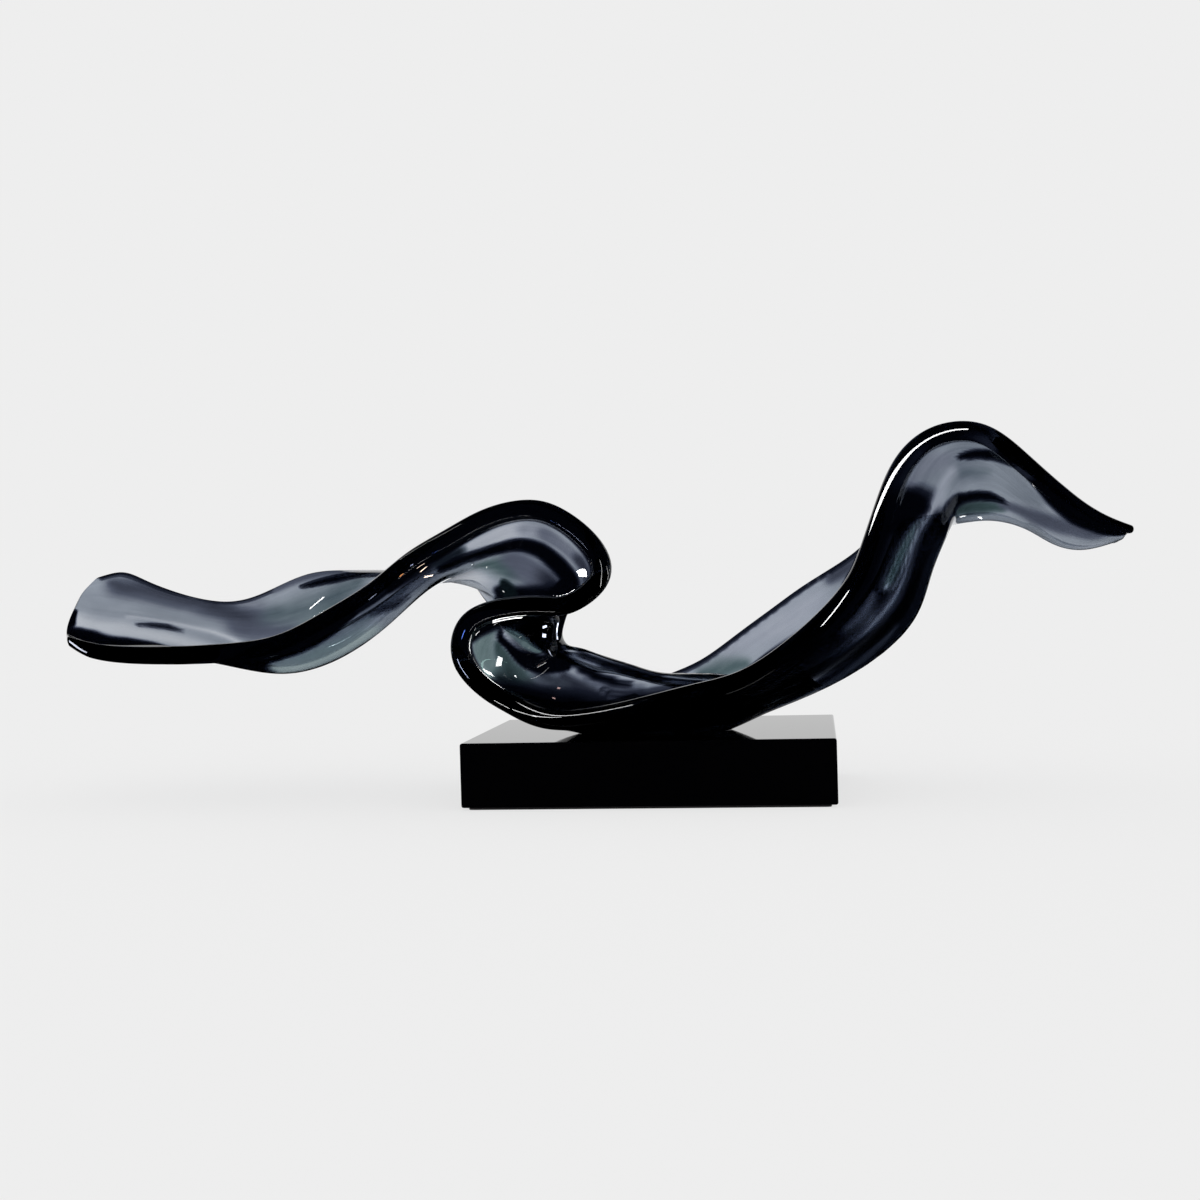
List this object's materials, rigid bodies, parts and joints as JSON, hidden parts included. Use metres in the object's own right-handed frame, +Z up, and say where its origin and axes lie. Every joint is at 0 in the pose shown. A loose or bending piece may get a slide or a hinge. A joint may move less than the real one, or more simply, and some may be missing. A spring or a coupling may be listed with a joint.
{
  "type": "wave sculpture",
  "caption": "Flowing wave ribbon of smoke-grey clear resin with rolled curls, standing on a gloss black plinth.",
  "frame": {"origin": "middle of the felt's underside, which is also the middle of the plinth's outline, on the table", "axes": "+Z up, +X along the wave from its low tongue to its raised tip, +Y from the thick front rim to the thin back rim"},
  "size_m": [0.7843, 0.178, 0.2544],
  "materials": {
    "smoked_resin": "clear cast resin, smoke grey, polished",
    "black_lacquer": "gloss black lacquer",
    "black_felt": "matt felt",
    "plated_steel": "zinc plated",
    "brass": "turned"
  },
  "bodies": {
    "root": {"wave_ribbon": "smoked_resin", "plinth": "black_lacquer", "felt_base": "black_felt", "insert_left": "brass", "insert_right": "brass", "bolt_left": "plated_steel", "bolt_right": "plated_steel", "washer_left": "plated_steel", "washer_right": "plated_steel"}
  },
  "joints": []
}
